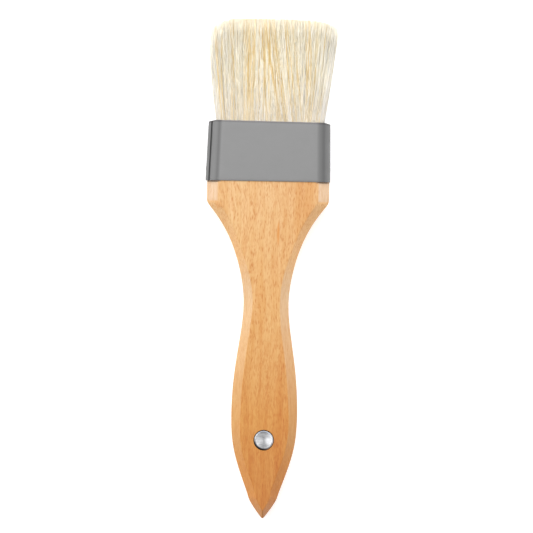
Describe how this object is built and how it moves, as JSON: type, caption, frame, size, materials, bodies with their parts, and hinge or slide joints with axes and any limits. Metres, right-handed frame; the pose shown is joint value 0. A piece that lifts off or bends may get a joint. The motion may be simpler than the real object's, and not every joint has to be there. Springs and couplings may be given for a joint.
{
  "type": "pastry brush",
  "caption": "Flat pastry brush: shaped beech handle with a round inset magnet to hang it by, lapped steel ferrule and a wide, flared tuft of pale natural bristle that bends.",
  "frame": {"origin": "middle of the brush's length and width, on the surface it lies on, which is the plane of the ferrule's back face", "axes": "+X across the width, to the right when the front is seen with the bristles up; +Y from the handle's point to the bristle tips; +Z from the back to the front, through the thickness"},
  "size_m": [0.0524, 0.204, 0.0131],
  "materials": {
    "beech": "oiled, satin, grain along the length",
    "ferrule_steel": "satin",
    "pin_steel": "satin",
    "magnet_plating": "nickel plated, turned face",
    "clear_glue": "set glue",
    "setting_resin": "cast epoxy",
    "spacer_wood": "plain, unfinished",
    "bristle": "natural bristle, set in resin"
  },
  "bodies": {
    "brush": {"handle": "beech", "ferrule": "ferrule_steel", "ferrule_pins": "pin_steel", "hanging_magnet": "magnet_plating", "magnet_glue": "clear_glue", "resin_set": "setting_resin", "spacer_strip": "spacer_wood", "bristle_roots_front": "bristle", "bristle_roots_back": "bristle"},
    "tuft": {"bristle_tuft_front": "bristle", "bristle_tuft_back": "bristle"}
  },
  "joints": [
    {"name": "bristle_flex", "type": "hinge", "parent": "brush", "child": "tuft", "pos_m": [0, 0.0623, 0.00653], "axis": [1, 0, 0], "range_deg": [-30, 30], "stiffness_Nm_per_rad": 0.1}
  ]
}
